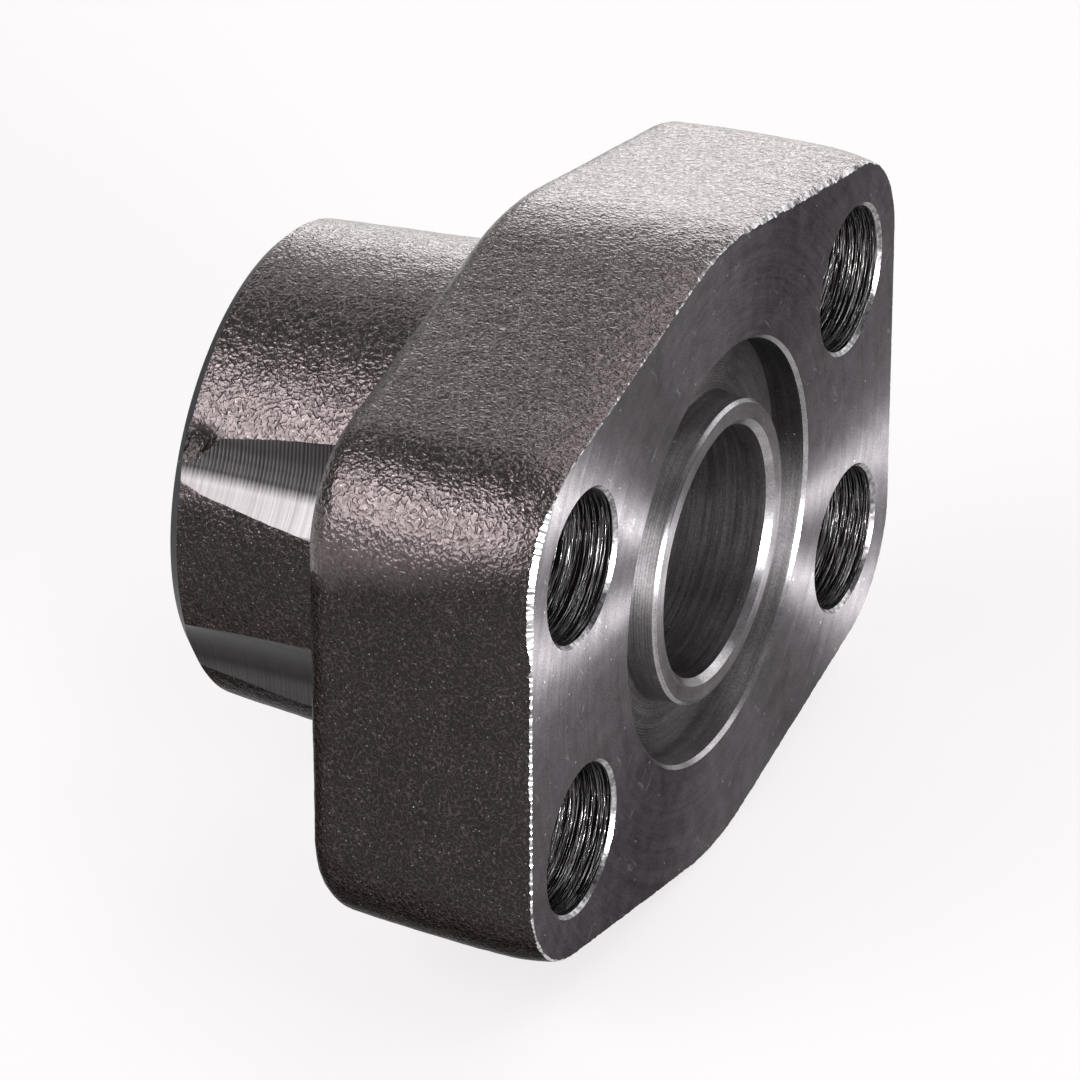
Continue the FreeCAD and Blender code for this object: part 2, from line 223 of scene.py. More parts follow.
def solid_from_loops(name, loops, *finishes):
    """A closed mesh: quads from loop to loop, and a fan over each end."""
    count = len(loops[0])
    points = press_dents(np.concatenate(loops + [[loops[0].mean(0)], [loops[-1].mean(0)]])) * MM
    first, last = len(points) - 2, len(points) - 1
    faces = []
    for row in range(len(loops) - 1):
        here, there = row * count, (row + 1) * count
        for at in range(count):
            after = (at + 1) % count
            faces.append((here + at, here + after, there + after, there + at))
    tail = (len(loops) - 1) * count
    for at in range(count):
        after = (at + 1) % count
        faces.append((first, after, at))
        faces.append((last, tail + at, tail + after))
    mesh = bpy.data.meshes.new(name)
    mesh.from_pydata(points.tolist(), [], faces)
    for finish in finishes:
        mesh.materials.append(finish)
    solid = bpy.data.objects.new(name, mesh)
    bpy.context.scene.collection.objects.link(solid)
    return solid


# %% [markdown]
# ## Small helpers for node trees
# Materials, shader groups and Geometry Nodes trees are all node trees. One helper
# adds a node, sets its properties and fills its inputs with plain values or with
# the sockets of earlier nodes. A second one is short for a Math node.

# %% node helpers
def put(tree, kind, inputs=None, **settings):
    made = tree.nodes.new(kind)
    for key, value in settings.items():
        setattr(made, key, value)
    for key, value in (inputs or {}).items():
        if isinstance(value, bpy.types.NodeSocket):
            tree.links.new(value, made.inputs[key])
        else:
            made.inputs[key].default_value = value
    return made


def calc(tree, operation, *values):
    return put(tree, "ShaderNodeMath", dict(enumerate(values)), operation=operation).outputs[0]


def vector_calc(tree, operation, *values, **named):
    inputs = dict(enumerate(values))
    inputs.update(named)
    return put(tree, "ShaderNodeVectorMath", inputs, operation=operation).outputs["Vector"]


def ramp(tree, value, low, high, low_out=0.0, high_out=1.0):
    """Map a value from one range to another, held at both ends."""
    return put(tree, "ShaderNodeMapRange", {"Value": value, "From Min": low, "From Max": high,
                                            "To Min": low_out, "To Max": high_out}).outputs["Result"]


def blend_colours(tree, share, first, second):
    made = put(tree, "ShaderNodeMix", {"Factor": share}, data_type="RGBA")
    for name, value in (("A", first), ("B", second)):
        socket = [item for item in made.inputs if item.name == name and item.type == "RGBA"][0]
        if isinstance(value, bpy.types.NodeSocket):
            tree.links.new(value, socket)
        else:
            socket.default_value = value
    return [item for item in made.outputs if item.type == "RGBA"][0]


def new_group(name, kind, inputs, outputs):
    """A node group with named sockets. Returns the tree, its inputs and its output node."""
    tree = bpy.data.node_groups.new(name, kind)
    for title, socket_type, value in inputs:
        socket = tree.interface.new_socket(title, in_out="INPUT", socket_type=socket_type)
        if value is not None:
            socket.default_value = value
    for title, socket_type in outputs:
        tree.interface.new_socket(title, in_out="OUTPUT", socket_type=socket_type)
    given = tree.nodes.new("NodeGroupInput").outputs
    result = tree.nodes.new("NodeGroupOutput")
    return tree, given, result


# %% [markdown]
# ## Shared surface effects
# Three effects make every finish on this part. Blasted relief is the crowd of
# small craters and worm-like ridges that descaling with steel shot leaves on a
# forging. Turning marks are the fine rings that a lathe leaves about the bore's
# axis. Tool marks are the rings that a drill or a seat cutter leaves about the
# nearest bolt. Each group puts out heights and masks only, and the materials
# decide how deep and how bright they are.

# %% blasted relief
WAVE_COUNT = 9
GOLDEN_TURN = math.pi * (3 - math.sqrt(5))


def crossing_waves(tree, place, width):
    """Waves of one length that run in many directions add up to short, branching worms."""
    total = None
    for number in range(WAVE_COUNT):
        lift = (number + 0.5) / WAVE_COUNT
        flat = math.sqrt(1 - lift ** 2)
        turn = number * GOLDEN_TURN
        stretch = 1 + 0.25 * math.cos(5 * number)
        way = (flat * math.cos(turn) * stretch, lift * stretch, flat * math.sin(turn) * stretch)
        along = put(tree, "ShaderNodeVectorMath", {0: place, 1: way}, operation="DOT_PRODUCT").outputs["Value"]
        phase = calc(tree, "MULTIPLY_ADD", calc(tree, "DIVIDE", along, width), math.tau, float(number))
        wave = calc(tree, "SINE", phase)
        total = wave if total is None else calc(tree, "ADD", total, wave)
    return calc(tree, "DIVIDE", total, math.sqrt(WAVE_COUNT / 2))


def blasted_relief():
    tree, given, result = new_group("blasted_relief", "ShaderNodeTree", [
        ("Place", "NodeSocketVector", None),
        ("Worm width", "NodeSocketFloat", 0.24 * MM),
        ("Wander", "NodeSocketFloat", 0.5 * MM),
        ("Speck spacing", "NodeSocketFloat", 0.6 * MM),
    ], [("Height", "NodeSocketFloat"), ("Ridges", "NodeSocketFloat"), ("Crests", "NodeSocketFloat"),
        ("Patches", "NodeSocketFloat"), ("Specks", "NodeSocketFloat")])
    place = given["Place"]
    drift = put(tree, "ShaderNodeTexNoise", {"Vector": place, "Scale": 1 / (0.5 * MM), "Detail": 0.0})
    push = vector_calc(tree, "SUBTRACT", drift.outputs["Color"], (0.5, 0.5, 0.5))
    pushed = put(tree, "ShaderNodeVectorMath", {0: push, "Scale": given["Wander"]}, operation="SCALE")
    drifted = vector_calc(tree, "ADD", place, pushed.outputs[0])
    waves = crossing_waves(tree, drifted, given["Worm width"])
    size = calc(tree, "DIVIDE", 1.0, given["Worm width"])
    knots = put(tree, "ShaderNodeTexNoise", {"Vector": drifted, "Scale": size, "Detail": 1.0})
    ridge = calc(tree, "MULTIPLY_ADD", ramp(tree, knots.outputs[0], 0.3, 0.7), 0.6,
                 calc(tree, "MULTIPLY", ramp(tree, waves, -1.2, 1.2), 0.5))
    swell = put(tree, "ShaderNodeTexNoise", {"Vector": place, "Scale": 1 / (1.6 * MM), "Detail": 1.0})
    grit = put(tree, "ShaderNodeTexNoise", {"Vector": place, "Scale": 1 / (0.14 * MM), "Detail": 0.0})
    crests = ramp(tree, calc(tree, "ABSOLUTE", calc(tree, "SUBTRACT", waves, 0.4)), 0.0, 0.5, 1.0, 0.0)
    height = calc(tree, "MULTIPLY_ADD", ridge, 0.8, calc(tree, "MULTIPLY", swell.outputs[0], 1.5))
    height = calc(tree, "MULTIPLY_ADD", grit.outputs[0], 0.28, height)
    patches = put(tree, "ShaderNodeTexNoise", {"Vector": place, "Scale": 1 / (4 * MM), "Detail": 2.0})
    close = calc(tree, "DIVIDE", 1.0, given["Speck spacing"])
    dots = put(tree, "ShaderNodeTexVoronoi", {"Vector": place, "Scale": close})
    luck = put(tree, "ShaderNodeSeparateColor", {0: dots.outputs["Color"]}).outputs[0]
    chosen = calc(tree, "GREATER_THAN", luck, 0.15)
    specks = calc(tree, "MULTIPLY", chosen, ramp(tree, dots.outputs["Distance"], 0.06, 0.13, 1.0, 0.0))
    tree.links.new(height, result.inputs["Height"])
    tree.links.new(ridge, result.inputs["Ridges"])
    tree.links.new(crests, result.inputs["Crests"])
    tree.links.new(patches.outputs[0], result.inputs["Patches"])
    tree.links.new(specks, result.inputs["Specks"])
    return tree


# %% turning marks about the bore's axis
def turning_marks():
    tree, given, result = new_group("turning_marks", "ShaderNodeTree", [
        ("Place", "NodeSocketVector", None),
        ("Ring pitch", "NodeSocketFloat", 0.12 * MM),
        ("Reach", "NodeSocketFloat", 0.9),
        ("Feed marks", "NodeSocketFloat", 0.0),
    ], [("Height", "NodeSocketFloat"), ("Streaks", "NodeSocketFloat"),
        ("Specks", "NodeSocketFloat"), ("Scratches", "NodeSocketFloat")])
    spot = put(tree, "ShaderNodeSeparateXYZ", {"Vector": given["Place"]}).outputs
    flat = put(tree, "ShaderNodeCombineXYZ", {"X": spot["X"], "Z": spot["Z"]}).outputs[0]
    radius = put(tree, "ShaderNodeVectorMath", {0: flat}, operation="LENGTH").outputs["Value"]
    spoke = vector_calc(tree, "NORMALIZE", flat)
    around = put(tree, "ShaderNodeVectorMath", {0: spoke, "Scale": given["Reach"]}, operation="SCALE")
    turns = calc(tree, "DIVIDE", radius, given["Ring pitch"])
    rise = calc(tree, "DIVIDE", spot["Y"], given["Ring pitch"])
    lift = put(tree, "ShaderNodeCombineXYZ", {"Y": calc(tree, "ADD", turns, rise)}).outputs[0]
    lathe_place = vector_calc(tree, "ADD", around.outputs["Vector"], lift)
    rings = put(tree, "ShaderNodeTexNoise", {"Vector": lathe_place, "Scale": 1.0, "Detail": 1.0})
    slow = vector_calc(tree, "MULTIPLY", lathe_place, (1.0, 0.3, 1.0))
    bands = put(tree, "ShaderNodeTexNoise", {"Vector": slow, "Scale": 1.0, "Detail": 4.0, "Roughness": 0.75})
    feed = calc(tree, "SINE", calc(tree, "MULTIPLY", calc(tree, "ADD", turns, rise), math.pi * 1.2))
    feed = calc(tree, "MULTIPLY", feed, given["Feed marks"])
    streaks = ramp(tree, calc(tree, "MULTIPLY_ADD", feed, 0.12, bands.outputs[0]), 0.3, 0.7)
    broken = put(tree, "ShaderNodeTexNoise", {"Vector": given["Place"], "Scale": 1 / (1.8 * MM), "Detail": 1.0})
    scratches = None
    for slant, low, high in ((0.7, 0.53, 0.63), (2.3, 0.47, 0.37)):
        slanted = put(tree, "ShaderNodeVectorRotate", {"Vector": flat, "Angle": slant}, rotation_type="Y_AXIS")
        drawn = vector_calc(tree, "MULTIPLY", slanted.outputs[0], (1 / (6 * MM), 1.0, 1 / (0.8 * MM)))
        stroke = put(tree, "ShaderNodeTexNoise", {"Vector": drawn, "Scale": 1.0, "Detail": 1.0})
        off_line = calc(tree, "ABSOLUTE", calc(tree, "SUBTRACT", stroke.outputs[0], 0.5))
        line = calc(tree, "MULTIPLY", ramp(tree, off_line, 0.0015, 0.005, 0.32, 0.0),
                    ramp(tree, broken.outputs[0], low, high))
        scratches = line if scratches is None else calc(tree, "MAXIMUM", scratches, line)
    tree.links.new(scratches, result.inputs["Scratches"])
    dust = put(tree, "ShaderNodeTexVoronoi", {"Vector": given["Place"], "Scale": 1 / (1.1 * MM)})
    luck = put(tree, "ShaderNodeSeparateColor", {0: dust.outputs["Color"]}).outputs
    dot = calc(tree, "SUBTRACT", dust.outputs["Distance"], calc(tree, "MULTIPLY", luck[1], 0.04))
    specks = calc(tree, "MULTIPLY", ramp(tree, dot, 0.022, 0.05, 0.9, 0.0), calc(tree, "GREATER_THAN", luck[0], 0.3))
    tree.links.new(calc(tree, "MULTIPLY_ADD", feed, 0.3, rings.outputs[0]), result.inputs["Height"])
    tree.links.new(streaks, result.inputs["Streaks"])
    tree.links.new(specks, result.inputs["Specks"])
    return tree


# %% tool marks about the nearest bolt
def bolt_tool_marks():
    tree, given, result = new_group("bolt_tool_marks", "ShaderNodeTree", [
        ("Place", "NodeSocketVector", None),
        ("Feed", "NodeSocketFloat", 0.4 * MM),
        ("Wander", "NodeSocketFloat", 0.3),
        ("Ribbed from", "NodeSocketFloat", -1 * MM),
        ("Ribbed to", "NodeSocketFloat", 0.0),
        ("Torn", "NodeSocketFloat", 0.0),
    ], [("Height", "NodeSocketFloat"), ("Streaks", "NodeSocketFloat"),
        ("Ribbed", "NodeSocketFloat"), ("Ribs", "NodeSocketFloat"), ("Tears", "NodeSocketFloat")])
    spot = put(tree, "ShaderNodeSeparateXYZ", {"Vector": given["Place"]}).outputs
    along = calc(tree, "SUBTRACT", calc(tree, "ABSOLUTE", spot["X"]), LONG_PITCH / 2 * MM)
    across = calc(tree, "SUBTRACT", calc(tree, "ABSOLUTE", spot["Z"]), SHORT_PITCH / 2 * MM)
    local = put(tree, "ShaderNodeCombineXYZ", {"X": along, "Z": across}).outputs[0]
    spoke = vector_calc(tree, "NORMALIZE", local)
    wave_place = put(tree, "ShaderNodeVectorMath", {0: spoke, "Scale": 0.8}, operation="SCALE")
    reach = put(tree, "ShaderNodeVectorMath", {0: local}, operation="LENGTH").outputs["Value"]
    rise = calc(tree, "DIVIDE", calc(tree, "MULTIPLY_ADD", reach, 0.6, spot["Y"]), given["Feed"])
    lift = put(tree, "ShaderNodeCombineXYZ", {"Y": rise}).outputs[0]
    slow = vector_calc(tree, "ADD", wave_place.outputs["Vector"],
                       vector_calc(tree, "MULTIPLY", lift, (0.0, 0.25, 0.0)))
    drift = put(tree, "ShaderNodeTexNoise", {"Vector": slow, "Scale": 1.5, "Detail": 2.0})
    turns = calc(tree, "ADD", rise, calc(tree, "MULTIPLY", drift.outputs[0], given["Wander"]))
    wave = calc(tree, "SINE", calc(tree, "MULTIPLY", turns, math.tau))
    fine_place = vector_calc(tree, "ADD", vector_calc(tree, "MULTIPLY", lift, (0.0, 3.0, 0.0)),
                             wave_place.outputs["Vector"])
    fine = put(tree, "ShaderNodeTexNoise", {"Vector": fine_place, "Scale": 1.0, "Detail": 2.0})
    loose_place = vector_calc(tree, "ADD", vector_calc(tree, "MULTIPLY", lift, (0.0, 1.4, 0.0)),
                              vector_calc(tree, "ADD", wave_place.outputs["Vector"], vector_calc(
                                  tree, "MULTIPLY", drift.outputs["Color"], (0.0, 1.2, 0.0))))
    loose = put(tree, "ShaderNodeTexNoise", {"Vector": loose_place, "Scale": 1.0, "Detail": 3.0})
    tears = ramp(tree, calc(tree, "ABSOLUTE", calc(tree, "SUBTRACT", loose.outputs[0], 0.5)), 0.0, 0.04, 1.0, 0.0)
    sideways = calc(tree, "MAXIMUM", spot["Z"], calc(tree, "SUBTRACT", calc(tree, "MULTIPLY", spot["Z"], -1.0), 2.6 * MM))
    ribbed = ramp(tree, sideways, given["Ribbed from"], given["Ribbed to"])
    ribs = calc(tree, "MULTIPLY", calc(tree, "MULTIPLY", wave, 0.4), ribbed)
    tree.links.new(ribs, result.inputs["Ribs"])
    height = calc(tree, "MULTIPLY_ADD", fine.outputs[0], 0.6, ribs)
    height = calc(tree, "MULTIPLY_ADD", tears, given["Torn"], height)
    tree.links.new(tears, result.inputs["Tears"])
    tree.links.new(height, result.inputs["Height"])
    tree.links.new(ramp(tree, fine.outputs[0], 0.3, 0.7), result.inputs["Streaks"])
    tree.links.new(ribbed, result.inputs["Ribbed"])
    return tree


# %% painted shade towards the bottom
def painted_low_shade():
    tree, given, result = new_group("painted_low_shade", "ShaderNodeTree", [
        ("Place", "NodeSocketVector", None),
        ("Oily below", "NodeSocketFloat", 7 * MM),
        ("Dry above", "NodeSocketFloat", 14 * MM),
        ("Lean", "NodeSocketFloat", 0.0),
    ], [("Unshaded", "NodeSocketFloat")])
    # This mask paints shade. It is 0 low on the part and 1 high up, and the materials darken the colour where it is
    # low, so the part gets darker towards the bottom. A slow noise wobbles its edge, and the lean tilts it with
    # depth.
    spot = put(tree, "ShaderNodeSeparateXYZ", {"Vector": given["Place"]}).outputs
    wobble = put(tree, "ShaderNodeTexNoise", {"Vector": given["Place"], "Scale": 1 / (5 * MM), "Detail": 3.0})
    sway = calc(tree, "MULTIPLY", calc(tree, "SUBTRACT", wobble.outputs[0], 0.5), 3 * MM)
    level = calc(tree, "MULTIPLY_ADD", spot["Y"], given["Lean"], calc(tree, "ADD", spot["Z"], sway))
    unshaded = ramp(tree, level, given["Oily below"], given["Dry above"])
    tree.links.new(unshaded, result.inputs["Unshaded"])
    return tree


RELIEF = blasted_relief()
TURNING = turning_marks()
TOOL_MARKS = bolt_tool_marks()
LOW_SHADE = painted_low_shade()
print("effects:", RELIEF.name, TURNING.name, TOOL_MARKS.name, LOW_SHADE.name)

# %% [markdown]
# ## Finishes
# All seven finishes are the same steel, so each material is a metallic
# Principled shader, and what differs is its marks, roughness and brightness.
# Turned faces reflect light as brushed metal does, stretched across the marks,
# so they use the shader's anisotropy with a tangent that circles the bore.

# %% material helpers
def new_finish(name):
    finish = bpy.data.materials.new(name)
    finish.use_nodes = True
    tree = finish.node_tree
    shader = tree.nodes["Principled BSDF"]
    shader.inputs["Metallic"].default_value = 1.0
    place = put(tree, "ShaderNodeTexCoord").outputs["Object"]
    return finish, tree, shader, place


def use_effect(tree, group, place, **sizes):
    made = put(tree, "ShaderNodeGroup", node_tree=group)
    tree.links.new(place, made.inputs["Place"])
    for title, value in sizes.items():
        made.inputs[title.replace("_", " ")].default_value = value
    return made.outputs


def darken(tree, colour, share):
    made = put(tree, "ShaderNodeVectorMath", {0: colour, "Scale": share}, operation="SCALE")
    return made.outputs["Vector"]


def add_bump(tree, shader, height, depth):
    bump = put(tree, "ShaderNodeBump", {"Height": height, "Distance": depth, "Strength": 1.0})
    tree.links.new(bump.outputs[0], shader.inputs["Normal"])
    return bump


def brush_in_circles(tree, shader, place, strength, crossing):
    """Marks that circle the bore stretch a highlight across them, a quarter turn from the marks.
    Two passes of the tool cross at a small angle, so the stretch points two ways."""
    along = vector_calc(tree, "NORMALIZE", vector_calc(tree, "CROSS_PRODUCT", (0.0, 1.0, 0.0), place))
    passes = [shader, put(tree, "ShaderNodeBsdfPrincipled")]
    for title in ("Base Color", "Metallic", "Roughness", "Specular Tint", "Normal"):
        passes[1].inputs[title].default_value = shader.inputs[title].default_value
        for link in shader.inputs[title].links:
            tree.links.new(link.from_socket, passes[1].inputs[title])
    for lobe, way in zip(passes, (-1, 1)):
        tree.links.new(along, lobe.inputs["Tangent"])
        lobe.inputs["Anisotropic"].default_value = strength
        lobe.inputs["Anisotropic Rotation"].default_value = 0.25 + way * crossing / 360
    both = put(tree, "ShaderNodeMixShader", {0: 0.57, 1: passes[0].outputs[0], 2: passes[1].outputs[0]})
    tree.links.new(both.outputs[0], tree.nodes["Material Output"].inputs["Surface"])


# %% forged skin
# Where the painted shade on the skin lies: the height of its line at the mating face, and how it slopes with depth.
SHADE_LEAN = 0.3
SHADE_LINE = 15.8
DENT_MIDDLE = Vector((-15.95, 34.4, 8.6)) * MM


def forged_skin(name, edge):
    finish, tree, shader, place = new_finish(name)
    relief = use_effect(tree, RELIEF, place, Worm_width=0.37 * MM, Wander=0.5 * MM, Speck_spacing=0.5 * MM)
    scale_colour = blend_colours(tree, relief["Patches"], (0.115, 0.094, 0.095, 1), (0.165, 0.138, 0.14, 1))
    # Ridges lighter and valleys darker: partly scale in the pits and worn tips, partly painted shade and painted
    # highlights on the relief.
    ridged_colour = darken(tree, scale_colour, ramp(tree, relief["Ridges"], 0.0, 1.1, 0.6, 1.16))
    # Below the line the skin is painted darker, with painted highlights along the crests of its worms, and the mask
    # mixes it with the colour above.
    painted_dark_colour = darken(tree, scale_colour, ramp(tree, relief["Crests"], 0.0, 1.0, 0.24, 0.66))
    unshaded = use_effect(tree, LOW_SHADE, place, Oily_below=(SHADE_LINE - 1.6) * MM,
                     Dry_above=(SHADE_LINE + 1.6) * MM, Lean=SHADE_LEAN)["Unshaded"]
    shaded = blend_colours(tree, unshaded, painted_dark_colour, ridged_colour)
    # Painted shade in and around the dents on the hub, darkest at their middle.
    dent = put(tree, "ShaderNodeVectorMath", {0: place, 1: DENT_MIDDLE}, operation="DISTANCE").outputs["Value"]
    shaded = darken(tree, shaded, ramp(tree, dent, 1.3 * MM, 2.3 * MM, 0.3, 1.0))
    # Bright specks: the colour is lighter in sparse dots, painted highlights that stand in for glints.
    speckled = blend_colours(tree, relief["Specks"], shaded, (0.33, 0.3, 0.305, 1))
    tree.links.new(speckled, shader.inputs["Base Color"])
    tree.links.new(ramp(tree, relief["Ridges"], 0.0, 1.1, 0.3, 0.24), shader.inputs["Roughness"])
    shader.inputs["Specular Tint"].default_value = (edge, edge, edge, 1)
    add_bump(tree, shader, relief["Height"], 0.062 * MM)
    return finish


# %% turned and faced steel
def turned_steel(name, dark, light, edge, roughness, stretch, pitch, depth,
                 feed=0.0, scratched=0.0, painted_shade_top_share=1.0):
    finish, tree, shader, place = new_finish(name)
    marks = use_effect(tree, TURNING, place, Ring_pitch=pitch, Feed_marks=feed)
    colour = blend_colours(tree, marks["Streaks"], dark, light)
    grain = put(tree, "ShaderNodeTexNoise", {"Vector": place, "Scale": 1 / (0.16 * MM), "Detail": 1.0})
    haze = put(tree, "ShaderNodeTexNoise", {"Vector": place, "Scale": 1 / (1.7 * MM), "Detail": 3.0})
    colour = darken(tree, colour, ramp(tree, grain.outputs[0], 0.3, 0.7, 0.8, 1.2))
    colour = darken(tree, colour, ramp(tree, haze.outputs[0], 0.3, 0.7, 0.87, 1.13))
    # Painted shade: the colour darkens upwards, from 7 mm below the bore's axis to 2 mm above it, down to the share
    # given for the top.
    height = put(tree, "ShaderNodeSeparateXYZ", {"Vector": place}).outputs["Z"]
    colour = darken(tree, colour, ramp(tree, height, -7 * MM, 2 * MM, 1.0, painted_shade_top_share))
    scratches = calc(tree, "MULTIPLY", marks["Scratches"], scratched)
    bare = calc(tree, "MAXIMUM", marks["Specks"], scratches)
    speckled = blend_colours(tree, bare, colour, (0.5, 0.5, 0.52, 1))
    tree.links.new(speckled, shader.inputs["Base Color"])
    rough = ramp(tree, marks["Streaks"], 0.0, 1.0, roughness - 0.015, roughness + 0.015)
    tree.links.new(rough, shader.inputs["Roughness"])
    shader.inputs["Specular Tint"].default_value = (edge, edge, edge, 1)
    add_bump(tree, shader, marks["Height"], depth)
    brush_in_circles(tree, shader, place, stretch, 10.0)
    return finish


# %% drilled walls and milled seats
def drilled_steel(name, dark, light, roughness, feed, wander, torn, depth):
    finish, tree, shader, place = new_finish(name)
    marks = use_effect(tree, TOOL_MARKS, place, Feed=feed, Wander=wander, Torn=torn)
    tree.links.new(blend_colours(tree, marks["Tears"], dark, light), shader.inputs["Base Color"])
    shader.inputs["Roughness"].default_value = roughness
    add_bump(tree, shader, marks["Height"], depth)
    return finish


def seated_steel():
    finish, tree, shader, place = new_finish("seated_steel")
    marks = use_effect(tree, TOOL_MARKS, place, Feed=0.31 * MM, Wander=0.4,
                       Ribbed_from=6.4 * MM, Ribbed_to=7.2 * MM)
    colour = blend_colours(tree, marks["Streaks"], (0.165, 0.152, 0.156, 1), (0.245, 0.229, 0.234, 1))
    # Painted shade: the seat is darker towards the bottom and in the ribbed band, and within 0.4 mm of the seat's
    # floor it keeps at least 0.8 of its colour. Where it is shaded the ribs darken and stand out less.
    unshaded = use_effect(tree, LOW_SHADE, place, Oily_below=-4 * MM, Dry_above=0.0)["Unshaded"]
    upper = ramp(tree, marks["Ribbed"], 0.0, 1.0, 1.0, 0.22)
    lower = ramp(tree, marks["Ribbed"], 0.0, 1.0, 0.13, 0.3)
    share = calc(tree, "MULTIPLY_ADD", calc(tree, "SUBTRACT", upper, lower), unshaded, lower)
    depth = put(tree, "ShaderNodeSeparateXYZ", {"Vector": place}).outputs["Y"]
    share = calc(tree, "MAXIMUM", share, ramp(tree, depth, SEAT_DEPTH * MM, (SEAT_DEPTH + 0.4) * MM, 0.8, 0.0))
    contrast = ramp(tree, unshaded, 0.0, 1.0, 0.2, 1.0)
    colour = darken(tree, darken(tree, colour, share), calc(tree, "MULTIPLY_ADD", marks["Ribs"], contrast, 1.0))
    tree.links.new(colour, shader.inputs["Base Color"])
    tree.links.new(ramp(tree, marks["Ribbed"], 0.0, 1.0, 0.36, 0.4), shader.inputs["Roughness"])
    add_bump(tree, shader, calc(tree, "MULTIPLY", marks["Height"], contrast), 0.025 * MM)
    return finish


# %% countersunk edges
def sunk_steel():
    finish, tree, shader, place = new_finish("countersunk_steel")
    marks = use_effect(tree, TOOL_MARKS, place, Feed=0.2 * MM, Wander=1.0)
    chips = put(tree, "ShaderNodeTexNoise", {"Vector": place, "Scale": 1 / (0.45 * MM), "Detail": 3.0})
    worn = ramp(tree, chips.outputs[0], 0.36, 0.66)
    streaky = darken(tree, blend_colours(tree, worn, (0.12, 0.115, 0.12, 1), (0.42, 0.41, 0.42, 1)),
                     ramp(tree, marks["Streaks"], 0.0, 1.0, 0.75, 1.15))
    tree.links.new(streaky, shader.inputs["Base Color"])
    shader.inputs["Roughness"].default_value = 0.26
    add_bump(tree, shader, calc(tree, "ADD", marks["Height"], worn), 0.008 * MM)
    return finish


# %% bright bevels
def bright_bevel():
    finish, tree, shader, place = new_finish("bright_bevel")
    spot = put(tree, "ShaderNodeSeparateXYZ", {"Vector": place}).outputs
    flat = put(tree, "ShaderNodeCombineXYZ", {"X": spot["X"], "Z": spot["Z"]}).outputs[0]
    spoke = put(tree, "ShaderNodeVectorMath", {0: vector_calc(tree, "NORMALIZE", flat), "Scale": 60.0}, operation="SCALE")
    rise = vector_calc(tree, "MULTIPLY", place, (0.0, 800.0, 0.0))
    nicks = put(tree, "ShaderNodeTexNoise", {"Vector": vector_calc(tree, "ADD", spoke.outputs[0], rise),
                                             "Scale": 1.0, "Detail": 3.0})
    worn = ramp(tree, nicks.outputs[0], 0.36, 0.56)
    tree.links.new(blend_colours(tree, worn, (0.1, 0.095, 0.1, 1), (0.5, 0.49, 0.5, 1)), shader.inputs["Base Color"])
    shader.inputs["Roughness"].default_value = 0.3
    add_bump(tree, shader, worn, 0.03 * MM)
    return finish


SKIN = forged_skin("forged_skin", 1.0)
# A painted-shade copy of the skin for the lower part, with less edge tint.
SHADED_SKIN = forged_skin("painted_shade_skin", 0.35)
FACED = turned_steel("faced_steel", (0.142, 0.133, 0.14, 1), (0.18, 0.169, 0.177, 1), 0.22, 0.35, 1.0, 0.12 * MM, 0.002 * MM,
                     scratched=1.0)
LAND = turned_steel("ring_face_steel", (0.15, 0.142, 0.148, 1), (0.24, 0.226, 0.234, 1), 0.3, 0.46, 0.85, 0.12 * MM, 0.003 * MM)
TURNED = turned_steel("turned_steel", (0.125, 0.118, 0.121, 1), (0.22, 0.209, 0.216, 1), 0.35, 0.46, 0.9, 0.13 * MM, 0.006 * MM, 0.9)
# The groove's outer wall is painted darker on its upper part.
WALLED = turned_steel("groove_wall_steel", (0.17, 0.162, 0.167, 1), (0.33, 0.314, 0.324, 1), 0.5, 0.37, 0.85, 0.15 * MM, 0.004 * MM,
                      painted_shade_top_share=0.3)
ENDED = turned_steel("end_bevel_steel", (0.05, 0.052, 0.056, 1), (0.08, 0.083, 0.088, 1), 0.5, 0.3, 0.3, 0.15 * MM, 0.006 * MM)
BEVELLED = turned_steel("bevelled_steel", (0.16, 0.153, 0.16, 1), (0.42, 0.405, 0.42, 1), 0.6, 0.28, 0.6, 0.12 * MM, 0.015 * MM)
BORED = turned_steel("bored_steel", (0.13, 0.122, 0.125, 1), (0.36, 0.342, 0.348, 1), 0.5, 0.32, 0.4, 0.12 * MM, 0.008 * MM)
DRILLED = drilled_steel("drilled_steel", (0.035, 0.032, 0.033, 1), (0.58, 0.56, 0.57, 1), 0.28, 0.24 * MM, 1.0, 0.5, 0.017 * MM)
SUNK = sunk_steel()
SEATED = seated_steel()
BRIGHT = bright_bevel()
print("finishes:", [finish.name for finish in (SKIN, SHADED_SKIN, FACED, LAND, TURNED, WALLED, ENDED, BEVELLED, BORED, DRILLED, SUNK, SEATED, BRIGHT)])

# %% [markdown]
# ## The forging and its uneven skin
# A die never leaves a perfect surface. A Geometry Nodes tree lifts and lowers
# each point along its normal by two noises: slow waves from the die and the
# scale, and small pits from blasting. Its sizes are named inputs, and the noise
# has no random part, so each run gives the same skin.

